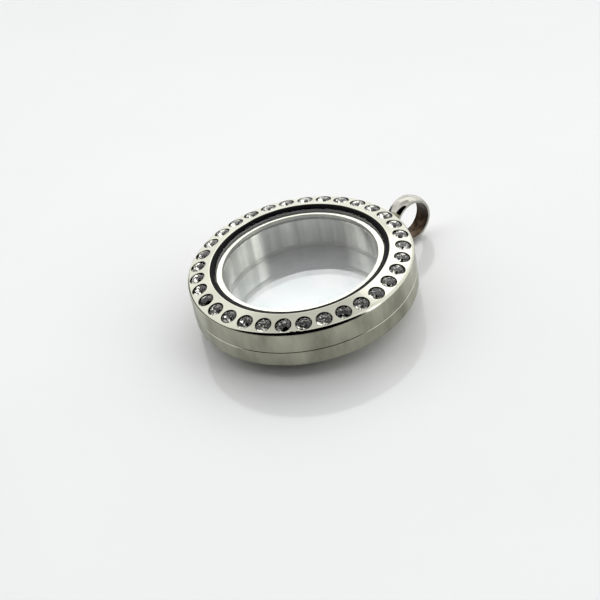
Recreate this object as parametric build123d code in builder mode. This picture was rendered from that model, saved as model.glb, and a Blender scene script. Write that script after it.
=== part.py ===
from build123d import *
import os
from math import atan2, cos, degrees, pi, radians, sin, sqrt, tan

# Round floating locket, lying on its back.
# Millimetres. The origin is on the locket's axis, at the level that it rests on. +Z points up out of
# the stone-set front, +Y points at the bail (12 o'clock) and the hinge is on the -X side (9 o'clock).

# Outer case
case_diameter = 30.0
back_wall_height = 2.0
front_wall_height = 2.97
seam_gap = 0.04
back_edge_radius = 0.18

# Back frame
back_slope_height = 2.0
back_slope_width = 2.9
rest_land_width = 0.6
lid_wall = 3.6
tube_clearance = 0.25
tube_wall = 0.7
tube_top_gap = 0.35
back_ledge_width = 0.8
back_ledge_height = 2.1
back_bevel_height = 0.35

# Front frame: sloping bezel and the ledge under the front glass
bezel_width = 3.15
bezel_rise = 0.8
bezel_edge_radius = 0.52
crest_edge_radius = 0.09
front_ledge_width = 0.9
front_ledge_thickness = 0.5

# Black seal ring around the front glass
seal_width = 0.6
seal_drop = 0.31
seal_gap = 0.02
seal_crown = 0.05

# Glasses
front_glass_thickness = 0.7
back_glass_thickness = 1.0
glass_edge_gap = 0.05
glass_bed_gap = 0.02
glass_bevel = 0.08

# Stones
stone_diameter = 2.04
stone_seat_gap = 0.05
stone_bridge = 0.43
stone_rim_margin = 0.33
stone_girdle = 0.07
stone_sink = 0.2
first_stone_angle = 94.0

# Cut of each stone, as shares of its diameter and as facet slopes in degrees
crown_share = 0.15
main_facet_slope = 34.5
star_facet_slope = 21.0
upper_girdle_slope = 41.0
pavilion_main_slope = 41.0
lower_girdle_slope = 42.5

# Hinge
knuckle_radius = 0.8
knuckle_length = 1.7
knuckle_gap = 0.1
hinge_standoff = 0.12
pin_radius = 0.35
pin_running_clearance = 0.04
pin_seat_clearance = 0.015

# Lug and bail ring
lug_wire_diameter = 0.8
lug_slot_depth = 1.0
lug_slot_side_gap = 0.15
lug_seam_clearance = 0.15
bail_inner_radius = 2.68
bail_thickness = 0.63
bail_edge_thickness = 0.3
bail_width = 2.32
bail_bar_gap = 0.12

# Closure magnet
magnet_radius = 0.9
magnet_thickness = 1.0
magnet_gap = 0.04

# Worked-out radii
outer_radius = case_diameter / 2
lid_inner_radius = outer_radius - lid_wall
tube_outer_radius = lid_inner_radius - tube_clearance
chamber_radius = tube_outer_radius - tube_wall
back_seat_radius = chamber_radius + back_ledge_width
rest_outer_radius = outer_radius - back_slope_width
rest_inner_radius = rest_outer_radius - rest_land_width
crest_radius = outer_radius - bezel_width
seal_inner_radius = crest_radius - seal_width
seal_outer_radius = crest_radius - seal_gap
front_window_radius = seal_inner_radius - front_ledge_width

# Worked-out heights
seam_bottom = back_slope_height + back_wall_height
seam_top = seam_bottom + seam_gap
wall_top = seam_top + front_wall_height
crest_height = wall_top + bezel_rise
front_glass_top = crest_height - seal_drop
front_glass_bottom = front_glass_top - front_glass_thickness
front_ledge_top = front_glass_bottom - glass_bed_gap
front_ledge_bottom = front_ledge_top - front_ledge_thickness
tube_top = front_ledge_bottom - tube_top_gap
back_glass_bottom = back_ledge_height - glass_bed_gap - back_glass_thickness

# Worked-out hinge axis, parallel to Y
hinge_x = -(outer_radius + hinge_standoff + knuckle_radius)
hinge_z = seam_bottom + seam_gap / 2
knuckle_pitch = knuckle_length + knuckle_gap

# Worked-out bail: it stands on the surface, threaded on the lug's bar, which lies along X
bail_outer_radius = bail_inner_radius + bail_thickness
lug_wire_radius = lug_wire_diameter / 2
lug_bar_y = outer_radius + lug_slot_depth + lug_wire_radius
lug_z = seam_bottom - lug_seam_clearance - lug_wire_radius
lug_leg_x = bail_width / 2 + lug_slot_side_gap + lug_wire_radius
bail_z = bail_outer_radius
bail_reach = bail_inner_radius - lug_wire_radius - bail_bar_gap
bail_y = lug_bar_y + sqrt(bail_reach**2 - (bail_z - lug_z) ** 2)

# Worked-out stone setting
bezel_slope = degrees(atan2(bezel_rise, bezel_width))
stone_seat_radius = stone_diameter / 2 + stone_seat_gap
stone_ring_radius = outer_radius - stone_rim_margin - stone_seat_radius
stone_ring_height = wall_top + (outer_radius - stone_ring_radius) * bezel_rise / bezel_width
stone_count = int(2 * pi * stone_ring_radius / (2 * stone_seat_radius + stone_bridge))
crown_height = crown_share * stone_diameter
pavilion_depth = tan(radians(pavilion_main_slope)) * stone_diameter / 2
stone_seat_depth = stone_sink + stone_girdle / 2 + pavilion_depth + stone_seat_gap


def corner(sketch, r, z):
    """The sketch's corner nearest to radius r and height z."""
    return sketch.vertices().sort_by_distance((r, z))[0]


def stone_place(index):
    """Where a stone's girdle sits: sunk in the bezel's slope, with its axis square to the slope."""
    angle = radians(first_stone_angle + index * 360 / stone_count)
    slope = radians(bezel_slope)
    outward = Vector(cos(angle), sin(angle), 0)
    normal = outward * sin(slope) + Vector(0, 0, cos(slope))
    downhill = outward * cos(slope) - Vector(0, 0, sin(slope))
    on_bezel = outward * stone_ring_radius + Vector(0, 0, stone_ring_height)
    return Plane(origin=on_bezel, x_dir=downhill, z_dir=normal)


def facet_plane(angle_deg, slope_deg, radius, height):
    """A facet that slopes down outwards and passes through one point at this radius and height."""
    angle = radians(angle_deg)
    slope = radians(slope_deg)
    outward = Vector(cos(angle), sin(angle), 0)
    side = 1 if height >= 0 else -1
    normal = outward * sin(slope) + Vector(0, 0, side * cos(slope))
    return Plane(origin=outward * radius + Vector(0, 0, height), z_dir=normal)


# Back frame: side wall, chamber tube with the back glass's ledge under its foot, two hinge knuckles
# and the bail's lug
with BuildPart() as back_frame:
    with BuildSketch(Plane.XZ) as back_section:
        with BuildLine():
            Polyline(
                (rest_outer_radius, 0),
                (outer_radius, back_slope_height),
                (outer_radius, seam_bottom),
                (tube_outer_radius, seam_bottom),
                (tube_outer_radius, tube_top),
                (chamber_radius, tube_top),
                (chamber_radius, back_ledge_height),
                (back_seat_radius, back_ledge_height),
                (back_seat_radius, back_bevel_height),
                (rest_inner_radius, 0),
                close=True,
            )
        make_face()
        rounded = [
            corner(back_section, outer_radius, back_slope_height),
            corner(back_section, rest_outer_radius, 0),
            corner(back_section, rest_inner_radius, 0),
        ]
        fillet(rounded, back_edge_radius)
        chamfer(corner(back_section, outer_radius, seam_bottom), seam_gap)
        chamfer(corner(back_section, tube_outer_radius, tube_top), tube_wall / 4)
        chamfer(corner(back_section, chamber_radius, tube_top), tube_wall / 12)
    revolve(axis=Axis.Z)

    # Outer knuckles, each on a web that stays under the seam
    for side in (-1, 1):
        with BuildSketch(Plane.XZ.offset(side * knuckle_pitch - knuckle_length / 2)):
            with Locations((hinge_x, hinge_z)):
                Circle(knuckle_radius)
            with BuildLine():
                Polyline(
                    (hinge_x, seam_bottom),
                    (hinge_x, hinge_z - knuckle_radius),
                    (-outer_radius + knuckle_radius, hinge_z - knuckle_radius),
                    (-outer_radius + knuckle_radius, seam_bottom),
                    close=True,
                )
            make_face()
        extrude(amount=knuckle_length)
    with Locations(Location((hinge_x, 0, hinge_z), (90, 0, 0))):
        Cylinder(pin_radius + pin_seat_clearance, 4 * knuckle_pitch, mode=Mode.SUBTRACT)

    # Lug: a bent wire, soldered by both ends to the side wall
    leg_start_y = sqrt(outer_radius**2 - lug_leg_x**2) - lug_wire_radius
    with BuildLine() as lug_path:
        FilletPolyline(
            (-lug_leg_x, leg_start_y, lug_z),
            (-lug_leg_x, lug_bar_y, lug_z),
            (lug_leg_x, lug_bar_y, lug_z),
            (lug_leg_x, leg_start_y, lug_z),
            radius=lug_wire_radius * 1.05,
        )
    with BuildSketch(Plane(origin=(-lug_leg_x, leg_start_y, lug_z), z_dir=(0, 1, 0))):
        Circle(lug_wire_radius)
    sweep(path=lug_path.wires()[0])

    # Pocket for the closure magnet, in the mating face on the opening side
    magnet_x = (tube_outer_radius + outer_radius) / 2
    with BuildSketch(Plane.XY.offset(seam_bottom)):
        with Locations((magnet_x, 0)):
            Circle(magnet_radius + magnet_gap)
    extrude(amount=-(magnet_thickness + 2 * magnet_gap), mode=Mode.SUBTRACT)

# Front frame: side wall, stone-set bezel, glass ledge and the middle hinge knuckle
with BuildPart() as front_frame:
    with BuildSketch(Plane.XZ) as front_section:
        with BuildLine():
            Polyline(
                (outer_radius, seam_top),
                (outer_radius, wall_top),
                (crest_radius, crest_height),
                (crest_radius, front_ledge_top),
                (front_window_radius, front_ledge_top),
                (front_window_radius, front_ledge_bottom),
                (lid_inner_radius, front_ledge_bottom),
                (lid_inner_radius, seam_top),
                close=True,
            )
        make_face()
        fillet(corner(front_section, outer_radius, wall_top), bezel_edge_radius)
        fillet(corner(front_section, crest_radius, crest_height), crest_edge_radius)
        chamfer(corner(front_section, outer_radius, seam_top), seam_gap)
    revolve(axis=Axis.Z)

    # Middle knuckle, on a web that stays above the seam
    with BuildSketch(Plane.XZ.offset(-knuckle_length / 2)):
        with Locations((hinge_x, hinge_z)):
            Circle(knuckle_radius)
        with BuildLine():
            Polyline(
                (hinge_x, seam_top),
                (hinge_x, hinge_z + knuckle_radius),
                (-outer_radius + knuckle_radius, hinge_z + knuckle_radius),
                (-outer_radius + knuckle_radius, seam_top),
                close=True,
            )
        make_face()
    extrude(amount=knuckle_length)
    with Locations(Location((hinge_x, 0, hinge_z), (90, 0, 0))):
        Cylinder(pin_radius + pin_running_clearance, 2 * knuckle_pitch, mode=Mode.SUBTRACT)

    # One round seat for each stone, drilled square to the slope
    seat_places = [stone_place(index).location for index in range(stone_count)]
    with Locations(*seat_places):
        Cylinder(
            stone_seat_radius,
            stone_seat_depth,
            align=(Align.CENTER, Align.CENTER, Align.MAX),
            mode=Mode.SUBTRACT,
        )

# Seal ring: its crowned top falls from the bezel's crest to the glass
with BuildPart() as seal_ring:
    with BuildSketch(Plane.XZ):
        with BuildLine():
            seal_bottom = front_ledge_top + seal_gap
            seal_top = crest_height - crest_edge_radius
            seal_middle = (seal_inner_radius + seal_outer_radius) / 2
            Polyline(
                (seal_outer_radius, seal_top),
                (seal_outer_radius, seal_bottom),
                (seal_inner_radius, seal_bottom),
                (seal_inner_radius, front_glass_top),
            )
            ThreePointArc(
                (seal_inner_radius, front_glass_top),
                (seal_middle, (seal_top + front_glass_top) / 2 + seal_crown),
                (seal_outer_radius, seal_top),
            )
        make_face()
    revolve(axis=Axis.Z)

# Front glass
with BuildPart() as front_glass:
    with BuildSketch(Plane.XY.offset(front_glass_bottom)):
        Circle(seal_inner_radius - glass_edge_gap)
    extrude(amount=front_glass_thickness)
    chamfer(front_glass.edges().filter_by(GeomType.CIRCLE), glass_bevel)

# Back glass
with BuildPart() as back_glass:
    with BuildSketch(Plane.XY.offset(back_glass_bottom)):
        Circle(back_seat_radius - glass_edge_gap)
    extrude(amount=back_glass_thickness)
    chamfer(back_glass.edges().filter_by(GeomType.CIRCLE), glass_bevel)

# Hinge pin, as long as the three knuckles
with BuildPart() as hinge_pin:
    with Locations(Location((hinge_x, 0, hinge_z), (90, 0, 0))):
        Cylinder(pin_radius, 2 * knuckle_pitch + knuckle_length)

# Closure magnet, a plain disc just under the mating face
with BuildPart() as closure_magnet:
    with BuildSketch(Plane.XY.offset(seam_bottom - magnet_gap)):
        with Locations((magnet_x, 0)):
            Circle(magnet_radius)
    extrude(amount=-magnet_thickness)

# Bail ring: a band with a rounded outside, standing square to the locket's edge
with BuildPart() as bail_ring:
    with BuildSketch(Plane(origin=(0, bail_y, bail_z), x_dir=(1, 0, 0), z_dir=(0, -1, 0))):
        with BuildLine():
            half_width = bail_width / 2
            shoulder = bail_inner_radius + bail_edge_thickness
            Polyline(
                (-half_width, shoulder),
                (-half_width, bail_inner_radius),
                (half_width, bail_inner_radius),
                (half_width, shoulder),
            )
            ThreePointArc((-half_width, shoulder), (0, bail_outer_radius), (half_width, shoulder))
        make_face()
    revolve(axis=Axis((0, bail_y, bail_z), (1, 0, 0)))

# One stone: a round brilliant with its girdle's middle at the origin and its table up
with BuildPart() as cut_stone:
    stone_radius = stone_diameter / 2
    flat_radius = stone_radius * cos(pi / 16)
    crown_top = stone_girdle / 2 + crown_height
    table_radius = stone_radius - crown_height / tan(radians(main_facet_slope))
    table_flat_radius = table_radius * cos(pi / 8)
    with BuildSketch(Plane.XY.offset(-pavilion_depth - stone_girdle)):
        RegularPolygon(stone_radius, 16)
    extrude(amount=pavilion_depth + stone_girdle + crown_top)
    for step in range(8):
        main_angle = 45 * step
        crown_main = facet_plane(main_angle, main_facet_slope, stone_radius, stone_girdle / 2)
        star = facet_plane(main_angle + 22.5, star_facet_slope, table_flat_radius, crown_top)
        pavilion_main = facet_plane(
            main_angle, pavilion_main_slope, stone_radius, -stone_girdle / 2
        )
        for plane in (crown_main, star, pavilion_main):
            split(bisect_by=plane, keep=Keep.BOTTOM)
    for step in range(16):
        girdle_angle = 11.25 + 22.5 * step
        upper = facet_plane(girdle_angle, upper_girdle_slope, flat_radius, stone_girdle / 2)
        lower = facet_plane(girdle_angle, lower_girdle_slope, flat_radius, -stone_girdle / 2)
        for plane in (upper, lower):
            split(bisect_by=plane, keep=Keep.BOTTOM)

os.makedirs("parts", exist_ok=True)

back_frame.part.label = "back_frame"
export_step(back_frame.part, "parts/back_frame.step")
front_frame.part.label = "front_frame"
export_step(front_frame.part, "parts/front_frame.step")
seal_ring.part.label = "seal_ring"
export_step(seal_ring.part, "parts/seal_ring.step")
front_glass.part.label = "front_glass"
export_step(front_glass.part, "parts/front_glass.step")
back_glass.part.label = "back_glass"
export_step(back_glass.part, "parts/back_glass.step")
hinge_pin.part.label = "hinge_pin"
export_step(hinge_pin.part, "parts/hinge_pin.step")
closure_magnet.part.label = "closure_magnet"
export_step(closure_magnet.part, "parts/closure_magnet.step")
bail_ring.part.label = "bail_ring"
export_step(bail_ring.part, "parts/bail_ring.step")

# The stones, numbered anticlockwise from the bail
for index in range(stone_count):
    place = stone_place(index).offset(-stone_sink).location
    stone = cut_stone.part.moved(place)
    name = f"stone_{index + 1:02d}"
    stone.label = name
    export_step(stone, f"parts/{name}.step")
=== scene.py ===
from math import cos, radians, sin

import bmesh
import bpy
from mathutils import Matrix, Vector


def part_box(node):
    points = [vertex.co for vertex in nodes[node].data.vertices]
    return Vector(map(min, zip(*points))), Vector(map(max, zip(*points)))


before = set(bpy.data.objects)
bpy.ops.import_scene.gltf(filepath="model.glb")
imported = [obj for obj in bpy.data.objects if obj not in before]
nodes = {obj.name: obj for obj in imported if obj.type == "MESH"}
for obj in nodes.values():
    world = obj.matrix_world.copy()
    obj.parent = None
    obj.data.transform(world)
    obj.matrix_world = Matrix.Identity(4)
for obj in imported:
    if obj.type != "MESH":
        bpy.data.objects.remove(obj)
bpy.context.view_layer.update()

# The locket lies on its back on a glossy white board, in a white light tent.
# Metres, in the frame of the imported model: +Z up through the stone-set front, +Y towards the bail.

MM = 0.001
scene = bpy.context.scene
scene.view_settings.view_transform = "Standard"


# Camera, as the photo was taken

view_heading = 58.23        # degrees round the object, 0 looks along +Y
view_height = 36.9          # degrees above the board
view_roll = 12.14           # degrees, the photo leans to the left
view_distance = 198.53 * MM
aim_height = 2.02 * MM      # the point on the locket's axis that the camera was fitted round
aim_right = 1.056 * MM      # how far right of the picture's middle that point lies
aim_up = 0.981 * MM         # and how far above it
lens_mm = 90.0
sensor_mm = 36.0


def make_camera():
    heading = radians(view_heading)
    height = radians(view_height)
    roll = radians(view_roll)
    back = Vector((sin(heading) * cos(height), -cos(heading) * cos(height), sin(height)))
    right = Vector((cos(heading), sin(heading), 0))
    up = back.cross(right)
    place = Vector((0, 0, aim_height)) + back * view_distance - right * aim_right - up * aim_up
    turned_right = right * cos(roll) - up * sin(roll)
    turned_up = right * sin(roll) + up * cos(roll)
    data = bpy.data.cameras.new("camera")
    data.lens = lens_mm
    data.sensor_width = sensor_mm
    data.clip_start = 1 * MM
    data.clip_end = 5.0
    camera = bpy.data.objects.new("camera", data)
    scene.collection.objects.link(camera)
    turn = Matrix((turned_right, turned_up, back)).transposed()
    camera.matrix_world = Matrix.Translation(place) @ turn.to_4x4()
    scene.camera = camera


make_camera()


# Node helpers

def srgb(code, alpha=1.0):
    """An sRGB hex colour as linear RGBA."""
    parts = [int(code[i:i + 2], 16) / 255 for i in (1, 3, 5)]
    linear = [p / 12.92 if p <= 0.04045 else ((p + 0.055) / 1.055) ** 2.4 for p in parts]
    return (*linear, alpha)


def plug(owner, node, inputs):
    """Links a node's inputs to the outputs given, or sets them to the values given."""
    for socket, value in inputs.items():
        if isinstance(value, bpy.types.NodeSocket):
            owner.node_tree.links.new(value, node.inputs[socket])
        else:
            node.inputs[socket].default_value = value


def add(owner, kind, inputs=(), stops=(), **settings):
    """Adds one node to a material or the world, with its settings, colour stops and inputs."""
    node = owner.node_tree.nodes.new(kind)
    for key, value in settings.items():
        setattr(node, key, value)
    if stops:
        for element, (position, code) in zip(node.color_ramp.elements, stops):
            element.position = position
            element.color = srgb(code)
    plug(owner, node, dict(inputs))
    return node


def new_material(name):
    """A material with its Principled shader, ready for its nodes."""
    material = bpy.data.materials.new(name)
    material.use_nodes = True
    return material, material.node_tree.nodes["Principled BSDF"]


# Patterns

# How a pattern is drawn out: its marks are long along the axes whose factor is small
EVEN = (1, 1, 1)
ROUND_THE_WALL = (0.05, 0.05, 1)
UP_THE_WALL = (1, 1, 0.02)
PATCHES_UP_THE_WALL = (1, 1, 0.4)
ALONG_THE_BAIL = (1, 0.1, 0.1)
ALONG_THE_PIN = (1, 0.03, 1)
pattern_low, pattern_high = 0.3, 0.7        # nearly all of a pattern lies between these


def uneven(material, size_mm, stretch=EVEN, detail=3.0):
    """A soft uneven pattern with marks about this size, fixed to the piece."""
    place = add(material, "ShaderNodeTexCoord").outputs["Object"]
    spread = add(material, "ShaderNodeMapping", {"Vector": place, "Scale": stretch})
    pattern = add(material, "ShaderNodeTexNoise", {
        "Vector": spread.outputs["Vector"], "Scale": 1 / (size_mm * MM), "Detail": detail})
    return pattern.outputs["Fac"]


def mottle(material, shader, pattern, dark, light, gloss, dark_at=pattern_low, light_at=pattern_high):
    """Lets a pattern run the colour from dark to light, and the roughness through the gloss's two values."""
    colour = add(material, "ShaderNodeValToRGB", {"Fac": pattern}, [(dark_at, dark), (light_at, light)])
    roughness = add(material, "ShaderNodeMapRange", {
        "Value": pattern, "From Min": pattern_low, "From Max": pattern_high,
        "To Min": gloss[0], "To Max": gloss[1]})
    plug(material, shader, {
        "Base Color": colour.outputs["Color"], "Roughness": roughness.outputs["Result"]})


# Steels

# Real polishing lines are about 0.02 mm apart, too fine to show at this distance, so the lines here
# are drawn 0.08 mm apart or wider.

relief_strength = 0.5


def steel(name, dark, light, gloss, spot_mm, line_mm, line_depth_mm,
          spot_stretch=EVEN, line_stretch=EVEN):
    """Stainless steel: spots in its tone and gloss, and fine lines cut into it; on the chamber's wall the
    spots are painted reflection streaks.
    """
    material, shader = new_material(name)
    tone_spots = uneven(material, spot_mm, spot_stretch, detail=4.0)
    mottle(material, shader, tone_spots, dark, light, gloss, dark_at=0.35, light_at=0.65)
    lines = uneven(material, line_mm, line_stretch)
    relief = add(material, "ShaderNodeBump", {
        "Height": lines, "Strength": relief_strength, "Distance": line_depth_mm * MM})
    plug(material, shader, {"Metallic": 1.0, "Normal": relief.outputs["Normal"]})
    return material


# The outer wall: a soft grey-green sheen with no sharp reflection, from fine lines that run round it
satin_steel = steel(
    "satin stainless steel", "#8C8C7D", "#BEBEAD", gloss=(0.27, 0.36),
    spot_mm=3.5, spot_stretch=PATCHES_UP_THE_WALL,
    line_mm=0.12, line_stretch=ROUND_THE_WALL, line_depth_mm=0.0015)
# The bezel, the mating faces and the back: nearly a mirror, a little wavy from the buffing wheel
buffed_steel = steel(
    "buffed stainless steel", "#C3C3B4", "#CDCDBF", gloss=(0.06, 0.10),
    spot_mm=4.0, line_mm=1.5, line_depth_mm=0.004)
# The chamber's wall: a grey mirror painted lighter than the other steels, with upright light and dark
# streaks painted into its tone as reflections
tube_steel_painted_streaks = steel(
    "tube steel, painted reflection streaks", "#A6A69C", "#F4F4EA", gloss=(0.14, 0.20),
    spot_mm=2.2, spot_stretch=UP_THE_WALL,
    line_mm=0.2, line_stretch=ROUND_THE_WALL, line_depth_mm=0.001)
# The inside between the tube and the lid: dull, and painted dark as the shade in the gaps, so the gaps read
# as dark lines
gap_steel_painted_shade = steel(
    "steel in the gaps, dull, painted dark as shade", "#45453D", "#57574E", gloss=(0.45, 0.55),
    spot_mm=2.0, line_mm=0.2, line_stretch=ROUND_THE_WALL, line_depth_mm=0.002)
# The drilled seats: painted almost black as the shade in each hole, which draws a dark rim round each stone
seat_painted_shade = steel(
    "drilled seat, painted shade", "#1E1E1A", "#33332C", gloss=(0.35, 0.5),
    spot_mm=0.4, line_mm=0.1, line_depth_mm=0.004)
# The bail's outside: a bright mirror with a few hair-fine scratches
bail_steel = steel(
    "mirror-polished steel", "#A3A199", "#BFBDB5", gloss=(0.04, 0.08),
    spot_mm=2.0, line_mm=0.15, line_stretch=ALONG_THE_BAIL, line_depth_mm=0.0008)
# The bail's inside: dull, and painted dark brown as a reflection of something warm
bail_bore = steel(
    "bail bore, painted brown reflection", "#241E17", "#56463A", gloss=(0.3, 0.42),
    spot_mm=0.8, line_mm=0.12, line_stretch=ALONG_THE_BAIL, line_depth_mm=0.002)
# The hinge pin: grey wire with draw marks along it
pin_wire = steel(
    "drawn steel wire", "#8C8C86", "#A5A59E", gloss=(0.2, 0.3),
    spot_mm=0.5, line_mm=0.08, line_stretch=ALONG_THE_PIN, line_depth_mm=0.002)
# The magnet: warm silver plating, slightly pitted
magnet_plating = steel(
    "nickel plating", "#A8A294", "#BDB7A8", gloss=(0.14, 0.22),
    spot_mm=0.7, line_mm=0.2, line_depth_mm=0.003)


# Glasses

def clear_glass(name, tint, ior, haze_mm, haze, surface=()):
    """Polished clear glass: a crisp reflection with faint wiped spots of haze."""
    material, shader = new_material(name)
    mottle(material, shader, uneven(material, haze_mm), tint, "#FFFFFF", gloss=(0.0, haze))
    plug(material, shader, {"Transmission Weight": 1.0, "IOR": ior, **dict(surface)})
    return material


def let_light_through(window_glass):
    """Lets light fall straight through a window on what lies under it, as through real flat glass."""
    shadow = add(window_glass, "ShaderNodeLightPath").outputs["Is Shadow Ray"]
    solid = add(window_glass, "ShaderNodeMath", {0: 1.0, 1: shadow}, operation="SUBTRACT")
    plug(window_glass, window_glass.node_tree.nodes["Principled BSDF"], {"Alpha": solid.outputs[0]})


# The back window: clear and faintly blue, with a hard coat whose pale sheen sets it off from the wall
coated_glass = clear_glass(
    "mineral glass, hard-coated", "#E6EEF0", ior=1.5, haze_mm=3.0, haze=0.012,
    surface={"Coat Weight": 1.0, "Coat IOR": 1.9, "Coat Roughness": 0.02})
# The front window: colourless and almost free of glare, so the chamber shows crisp and dark behind it
glare_free_glass = clear_glass(
    "mineral glass, glare-free", "#FAFCFB", ior=1.5, haze_mm=3.0, haze=0.012,
    surface={"Specular Tint": srgb("#000000")})
for window in (coated_glass, glare_free_glass):
    let_light_through(window)
# The stones: clear, with a hint of olive in the thick parts
stone_crystal = clear_glass("cut crystal", "#F6F6EE", ior=1.52, haze_mm=0.5, haze=0.01)


# Foil, seal, glue and board

# The stones' backs: mirror-bright foil with random dark spots, painted dark patches that stand for the dark
# seat seen through the stone, so no two stones sparkle alike
foil, foil_shader = new_material("silver foil back, painted dark spots")
foil_painted_dark_spots = uneven(foil, 1.2, detail=2.0)
foil_colour = add(foil, "ShaderNodeValToRGB", {"Fac": foil_painted_dark_spots}, [(0.36, "#15150F"), (0.44, "#FFFFFB")])
plug(foil, foil_shader, {
    "Base Color": foil_colour.outputs["Color"], "Metallic": 1.0, "Roughness": 0.03})

# The seal: black with only a thin soft glint, a little uneven like cast rubber
seal_black, seal_shader = new_material("black rubber seal")
mottle(seal_black, seal_shader, uneven(seal_black, 0.8), "#030304", "#0A0A0E", gloss=(0.10, 0.22))
plug(seal_black, seal_shader, {"Specular IOR Level": 0.04})

# The front glass's edge: black glue on most of it, and at its foot the bright steel that it stands on
glued_edge, glue_shader = new_material("glass edge, glued into the seal")
glass_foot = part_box("front_glass")[0].z
glue_line = glass_foot + 0.15 * MM
glue_blur = 0.02 * MM
glue_waver = 0.03 * MM
edge_place = add(glued_edge, "ShaderNodeTexCoord").outputs["Object"]
edge_height = add(glued_edge, "ShaderNodeSeparateXYZ", {"Vector": edge_place}).outputs["Z"]
waver = add(glued_edge, "ShaderNodeMapRange", {
    "Value": uneven(glued_edge, 0.3), "From Min": pattern_low, "From Max": pattern_high,
    "To Min": -glue_waver, "To Max": glue_waver})
ragged_height = add(glued_edge, "ShaderNodeMath", {
    0: edge_height, 1: waver.outputs["Result"]}, operation="ADD")
glued = add(glued_edge, "ShaderNodeMapRange", {
    "Value": ragged_height.outputs[0], "From Min": glue_line - glue_blur, "From Max": glue_line + glue_blur})
glue_colour = add(glued_edge, "ShaderNodeValToRGB", {
    "Fac": glued.outputs["Result"]}, [(0, "#E4E4DA"), (1, "#040405")])
plug(glued_edge, glue_shader, {
    "Base Color": glue_colour.outputs["Color"], "Metallic": 1.0, "Roughness": 0.3})

# The board: white with a clear glaze that shows a faint mirror image of the locket
white_board, board_shader = new_material("glossy white board")
mottle(white_board, board_shader, uneven(white_board, 40.0), "#F7F8F8", "#FAFBFB", gloss=(0.07, 0.09))
plug(white_board, board_shader, {"IOR": 1.5})


# Finishes on the pieces

def dress(node, *finishes, chosen_by=None):
    """Gives a CAD node its finishes: the first on every face, or the one that the rule picks for each."""
    mesh = nodes[node].data
    mesh.materials.clear()
    for finish in finishes:
        mesh.materials.append(finish)
    if chosen_by:
        for face in mesh.polygons:
            face.material_index = finishes.index(chosen_by(face))


# Sizes of the solids, as in the part's source, which tell their surfaces apart
lid_wall = 3.6 * MM
tube_clearance = 0.25 * MM
tube_wall = 0.7 * MM
bezel_width = 3.15 * MM
bezel_rise = 0.8 * MM
seal_width = 0.6 * MM
ledge_width = 0.9 * MM
ledge_thickness = 0.5 * MM
glass_bed_gap = 0.02 * MM
wall_top = 7.01 * MM
seat_radius = 1.07 * MM
seat_rim_margin = 0.33 * MM
seat_depth = 1.6 * MM                   # deeper than a seat, but far above the mating face
bail_bore_radius = 2.68 * MM

outer_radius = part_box("front_frame")[1].x
tube_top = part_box("back_frame")[1].z
lid_inner_radius = outer_radius - lid_wall
tube_outer_radius = lid_inner_radius - tube_clearance
chamber_radius = tube_outer_radius - tube_wall
window_radius = outer_radius - bezel_width - seal_width - ledge_width
ledge_bottom = glass_foot - glass_bed_gap - ledge_thickness
stone_ring_radius = outer_radius - seat_rim_margin - seat_radius
stone_ring_height = wall_top + (outer_radius - stone_ring_radius) * bezel_rise / bezel_width

# How far off a face may lie and still belong to a surface
close = 0.02 * MM
close_to_wall = 0.05 * MM
on_the_slope = 0.005 * MM

# Limits on a face's normal, along Z or along its stone's axis
upright_limit = 0.3         # a face whose normal rises less than this stands upright
glass_face_limit = 0.9      # a face of the window's glass whose normal rises less is its edge or bevel
crown_limit = 0.1           # a face of a stone whose normal rises less is its girdle or back


def is_upright(face):
    return abs(face.normal.z) < upright_limit


def is_at_radius(face, radius):
    return is_upright(face) and abs(face.center.xy.length - radius) < close


def is_outer_wall(face):
    return is_upright(face) and face.center.xy.length > outer_radius - close_to_wall


def stone_axis(name):
    """The way out from the locket's axis towards a stone, and the stone's own axis, square to the bezel."""
    low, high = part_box(name)
    outward = Vector((low.x + high.x, low.y + high.y, 0)).normalized()
    return outward, (Vector((0, 0, 1)) + outward * bezel_rise / bezel_width).normalized()


stone_names = [name for name in nodes if name.startswith("stone_")]
seats = []
for name in stone_names:
    outward, axis = stone_axis(name)
    seats.append((outward * stone_ring_radius + Vector((0, 0, stone_ring_height)), axis))


def is_in_a_seat(point):
    for middle, axis in seats:
        height = (point - middle).dot(axis)
        sideways = (point - middle - axis * height).length
        if -seat_depth < height < -on_the_slope and sideways < seat_radius + close / 2:
            return True
    return False


def front_frame_finish(face):
    """Seats painted dark as shade, a dull inside painted dark as shade, a satin outer wall and window rim,
    and the rest buffed.
    """
    within = face.center.xy.length < lid_inner_radius + close and face.center.z < ledge_bottom + close
    if is_in_a_seat(face.center):
        return seat_painted_shade
    if within and face.normal.z < upright_limit:
        return gap_steel_painted_shade
    if is_at_radius(face, window_radius) or is_outer_wall(face):
        return satin_steel
    return buffed_steel


def back_frame_finish(face):
    """The tube dull outside and on top, painted dark as shade there, and streaked inside with painted
    reflections, a satin outer wall, and the rest buffed.
    """
    on_tube_top = face.center.xy.length < tube_outer_radius and abs(face.center.z - tube_top) < close
    if is_at_radius(face, tube_outer_radius) or on_tube_top:
        return gap_steel_painted_shade
    if is_at_radius(face, chamber_radius):
        return tube_steel_painted_streaks
    if is_outer_wall(face):
        return satin_steel
    return buffed_steel


bail_low, bail_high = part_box("bail_ring")
bail_middle = (bail_low + bail_high) / 2


def bail_finish(face):
    """The bore, painted with a brown reflection, is the part of the ring that faces its middle."""
    from_middle = face.center - bail_middle
    from_middle.x = 0
    faces_middle = face.normal.dot(from_middle) < 0
    return bail_bore if faces_middle and from_middle.length < bail_bore_radius + close else bail_steel


def front_glass_finish(face):
    return glued_edge if abs(face.normal.z) < glass_face_limit else glare_free_glass


def stone_finish_for(name):
    """The rule for one stone: a clear crown over a foiled girdle and back."""
    outward, axis = stone_axis(name)

    def stone_finish(face):
        return foil if face.normal.dot(axis) < crown_limit else stone_crystal

    return stone_finish


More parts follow.
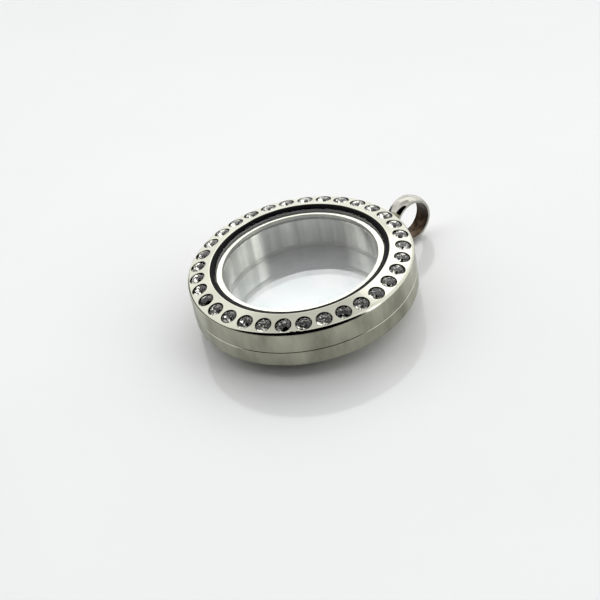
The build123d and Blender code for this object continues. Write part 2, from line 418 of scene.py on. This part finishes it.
dress("front_frame", satin_steel, buffed_steel, gap_steel_painted_shade, seat_painted_shade, chosen_by=front_frame_finish)
dress("back_frame", satin_steel, buffed_steel, gap_steel_painted_shade, tube_steel_painted_streaks, chosen_by=back_frame_finish)
dress("bail_ring", bail_steel, bail_bore, chosen_by=bail_finish)
dress("hinge_pin", pin_wire)
dress("closure_magnet", magnet_plating)
dress("seal_ring", seal_black)
dress("front_glass", glare_free_glass, glued_edge, chosen_by=front_glass_finish)
dress("back_glass", coated_glass)
for name in stone_names:
    dress(name, stone_crystal, foil, chosen_by=stone_finish_for(name))


# Board

board_half_width = 1.5


def make_board():
    mesh = bpy.data.meshes.new("board")
    shape = bmesh.new()
    bmesh.ops.create_grid(shape, x_segments=1, y_segments=1, size=board_half_width)
    shape.to_mesh(mesh)
    shape.free()
    board = bpy.data.objects.new("board", mesh)
    scene.collection.objects.link(board)
    mesh.materials.append(white_board)


make_board()


# Light tent

# The tent's brightness by direction. Each part is laid over the ones before it. Its angles are in
# degrees: the turn from the camera's side to its middle, counter-clockwise from above, its half
# width, where more than 180 goes all the way round, its lower and upper edge above the horizon, and
# how soft its edges are.
plain_wall = 1.3
tent_parts = {
    # part: (brightness, turn, half width, lower edge, upper edge, softness)
    "low wall behind the locket": (1.35, 170, 75, -40, 18, 7),
    "lamp at the right": (3.0, 50, 14, -40, 35, 6),
    "bright wall behind the locket": (2.15, 163, 37, 28, 69, 6),
    "dark gap at the left": (0.06, -112, 40, -40, 15, 8),
    "roof": (1.17, 0, 190, 57, 100, 4),
    "greyer roof behind the locket": (0.86, 180, 50, 58, 80, 5),
    "opening that the camera looks in through": (0.0, -14, 66, -40, 89, 7),
}
seen_straight_on = 1.0      # plain white from every side, where a view shows the tent itself
camera_side = view_heading - 90

tent = bpy.data.worlds.new("tent")
scene.world = tent
tent.use_nodes = True
direction = add(tent, "ShaderNodeTexCoord").outputs["Generated"]
direction_parts = add(tent, "ShaderNodeSeparateXYZ", {"Vector": direction})
height_angle = add(tent, "ShaderNodeMath", {0: direction_parts.outputs["Z"]}, operation="ARCSINE").outputs[0]


def turn_from(heading_deg):
    """The turn round the locket away from this heading, in radians, from -pi to pi."""
    turned = add(tent, "ShaderNodeVectorRotate", {
        "Vector": direction, "Angle": radians(-heading_deg)}, rotation_type="Z_AXIS")
    parts = add(tent, "ShaderNodeSeparateXYZ", {"Vector": turned.outputs["Vector"]})
    turn = add(tent, "ShaderNodeMath", {
        0: parts.outputs["Y"], 1: parts.outputs["X"]}, operation="ARCTAN2")
    return turn.outputs[0]


def band(angle, low_deg, high_deg, soft_deg):
    """1 between two angles and 0 outside them, with soft edges."""
    low_edge = add(tent, "ShaderNodeMapRange", {
        "Value": angle, "From Min": radians(low_deg - soft_deg), "From Max": radians(low_deg + soft_deg)},
        interpolation_type="SMOOTHSTEP")
    high_edge = add(tent, "ShaderNodeMapRange", {
        "Value": angle, "From Min": radians(high_deg + soft_deg), "From Max": radians(high_deg - soft_deg)},
        interpolation_type="SMOOTHSTEP")
    inside = add(tent, "ShaderNodeMath", {
        0: low_edge.outputs["Result"], 1: high_edge.outputs["Result"]}, operation="MULTIPLY")
    return inside.outputs[0]


def light_tent():
    brightness = plain_wall
    for strength, turn_deg, half_width_deg, low_deg, high_deg, soft_deg in tent_parts.values():
        turn = turn_from(camera_side + turn_deg)
        part = add(tent, "ShaderNodeMath", {
            0: band(turn, -half_width_deg, half_width_deg, soft_deg),
            1: band(height_angle, low_deg, high_deg, soft_deg)}, operation="MULTIPLY")
        laid_over = add(tent, "ShaderNodeMix", {
            0: part.outputs[0], "A": brightness, "B": strength}, data_type="FLOAT")
        brightness = laid_over.outputs[0]
    camera_ray = add(tent, "ShaderNodeLightPath").outputs["Is Camera Ray"]
    seen = add(tent, "ShaderNodeMix", {
        0: camera_ray, "A": brightness, "B": seen_straight_on}, data_type="FLOAT")
    plug(tent, tent.node_tree.nodes["Background"], {
        "Color": srgb("#FFFFFF"), "Strength": seen.outputs[0]})


light_tent()
